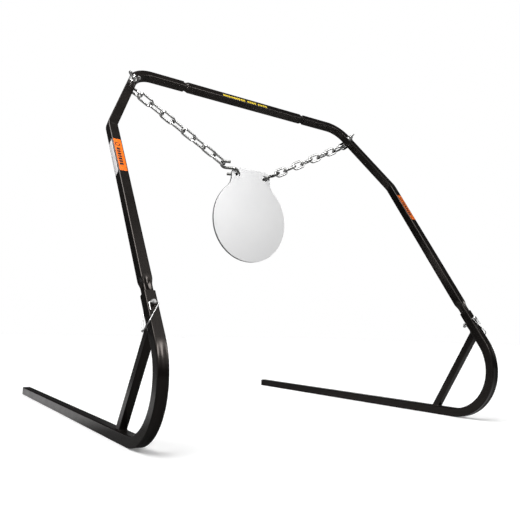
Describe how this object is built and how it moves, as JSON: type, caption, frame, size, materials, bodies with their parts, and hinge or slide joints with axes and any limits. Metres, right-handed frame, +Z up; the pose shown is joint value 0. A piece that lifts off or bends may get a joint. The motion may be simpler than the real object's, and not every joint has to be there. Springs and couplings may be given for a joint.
{
  "type": "hanging target gong on stand",
  "caption": "White steel gong with a round body and a narrower top, hung by chains and S-hooks from a free-standing take-down frame of bent black square tube.",
  "frame": {"origin": "on the ground, at the centre of the stand's footprint", "axes": "+Z up, +X across the stand to the right as seen from the front, +Y to the back, along the feet"},
  "size_m": [1.0652, 1.1797, 1.0165],
  "materials": {
    "black_paint": "gloss",
    "white_paint": "satin",
    "zinc_steel": "bright zinc plate",
    "side_label": "gloss",
    "strip_label": "gloss",
    "black_plastic": "matte"
  },
  "bodies": {
    "frame": {"crossbar": "black_paint", "crossbar_label": "strip_label", "base_tube_left": "black_paint", "base_tube_right": "black_paint", "upright_left": "black_paint", "upright_right": "black_paint", "brace_left": "black_paint", "brace_right": "black_paint", "foot_cap_left": "black_plastic", "foot_cap_right": "black_plastic", "label_left": "side_label", "label_right": "side_label", "anchor_bolt_left": "zinc_steel", "anchor_bolt_right": "zinc_steel", "front_washer_left": "zinc_steel", "front_washer_right": "zinc_steel", "back_washer_left": "zinc_steel", "back_washer_right": "zinc_steel", "wing_nut_left": "zinc_steel", "wing_nut_right": "zinc_steel", "end_link_left": "zinc_steel", "end_link_right": "zinc_steel"},
    "chains": {"chain_left": "zinc_steel", "chain_right": "zinc_steel"},
    "hooks": {"s_hook_left": "zinc_steel", "s_hook_right": "zinc_steel"},
    "gong": {"gong_plate": "white_paint"},
    "lock_pin_left": {"lock_pin_left": "zinc_steel", "pin_wire_left": "zinc_steel"},
    "lock_pin_right": {"lock_pin_right": "zinc_steel", "pin_wire_right": "zinc_steel"}
  },
  "joints": [
    {"name": "chain_swing", "type": "hinge", "parent": "frame", "child": "chains", "pos_m": [0, -0.06809, 0.92134], "axis": [1, 0, 0], "range_deg": [-30, 24]},
    {"name": "hook_swing", "type": "hinge", "parent": "chains", "child": "hooks", "pos_m": [0, -0.06809, 0.7727], "axis": [1, 0, 0], "range_deg": [-18, 18]},
    {"name": "gong_rock", "type": "hinge", "parent": "hooks", "child": "gong", "pos_m": [0, -0.06809, 0.743], "axis": [1, 0, 0], "range_deg": [-6, 3]},
    {"name": "lock_pin_left_turn", "type": "hinge", "parent": "frame", "child": "lock_pin_left", "pos_m": [-0.5132, -0.51184, 0.2857], "axis": [0, -0.8339, 0.5519], "range_deg": [-120, 4]},
    {"name": "lock_pin_right_turn", "type": "hinge", "parent": "frame", "child": "lock_pin_right", "pos_m": [0.5132, -0.51184, 0.2857], "axis": [0, -0.8339, 0.5519], "range_deg": [-1, 120]}
  ]
}
